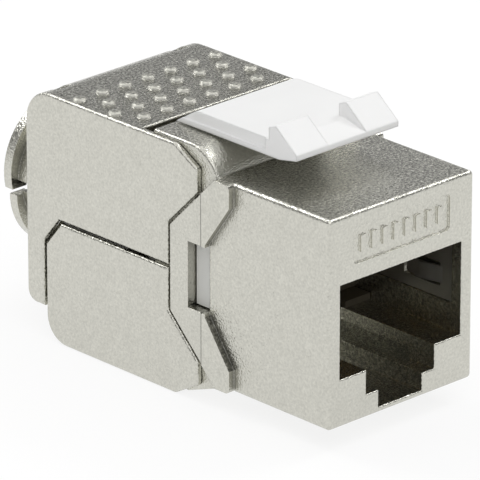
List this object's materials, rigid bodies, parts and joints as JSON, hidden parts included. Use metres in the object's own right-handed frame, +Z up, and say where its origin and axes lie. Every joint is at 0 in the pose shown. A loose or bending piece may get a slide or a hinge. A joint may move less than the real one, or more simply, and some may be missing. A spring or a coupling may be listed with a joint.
{
  "type": "keystone jack",
  "caption": "Shielded toolless keystone jack: a modular plug port in a die-cast block, a snap-in panel latch, and two swing doors that close on the cable.",
  "frame": {"origin": "centre of the port's front face, at half the front's height", "axes": "+X across the jack, +Y from the front face towards the cable, +Z up towards the latch"},
  "size_m": [0.0156, 0.037, 0.0224],
  "materials": {
    "nickel_plate": "satin nickel plate over die-cast zinc",
    "white_plastic": "satin",
    "insert_plastic": "satin",
    "manager_plastic": "satin",
    "gold_plate": "gold plate, polished",
    "blade_tin": "tin plate over bronze",
    "board_green": "solder resist",
    "spring_steel": "satin sheet"
  },
  "bodies": {
    "housing": {"front_housing": "nickel_plate", "contact_carrier": "insert_plastic", "contact_1": "gold_plate", "contact_2": "gold_plate", "contact_3": "gold_plate", "contact_4": "gold_plate", "contact_5": "gold_plate", "contact_6": "gold_plate", "contact_7": "gold_plate", "contact_8": "gold_plate", "circuit_board": "board_green", "idc_block": "insert_plastic", "idc_blade_1": "blade_tin", "idc_blade_2": "blade_tin", "idc_blade_3": "blade_tin", "idc_blade_4": "blade_tin", "idc_blade_5": "blade_tin", "idc_blade_6": "blade_tin", "idc_blade_7": "blade_tin", "idc_blade_8": "blade_tin", "wire_manager": "manager_plastic", "shield_spring_left": "spring_steel", "shield_spring_right": "spring_steel"},
    "upper_door": {"upper_door": "nickel_plate"},
    "lower_door": {"lower_door": "nickel_plate"},
    "latch": {"latch_lever": "white_plastic"}
  },
  "joints": [
    {"name": "upper_door_hinge", "type": "hinge", "parent": "housing", "child": "upper_door", "pos_m": [0, 0.01445, 0.0068], "axis": [1, 0, 0], "range_deg": [0, 44.5]},
    {"name": "lower_door_hinge", "type": "hinge", "parent": "housing", "child": "lower_door", "pos_m": [0, 0.01445, -0.0068], "axis": [1, 0, 0], "range_deg": [-44.5, 0]},
    {"name": "latch_flex", "type": "hinge", "parent": "housing", "child": "latch", "pos_m": [0, 0.0146, 0.0093], "axis": [1, 0, 0], "range_deg": [0, 10], "stiffness_Nm_per_rad": 0.05}
  ],
  "couplings": [
    {"joint": "lower_door_hinge", "follows": "upper_door_hinge", "ratio": -1}
  ]
}
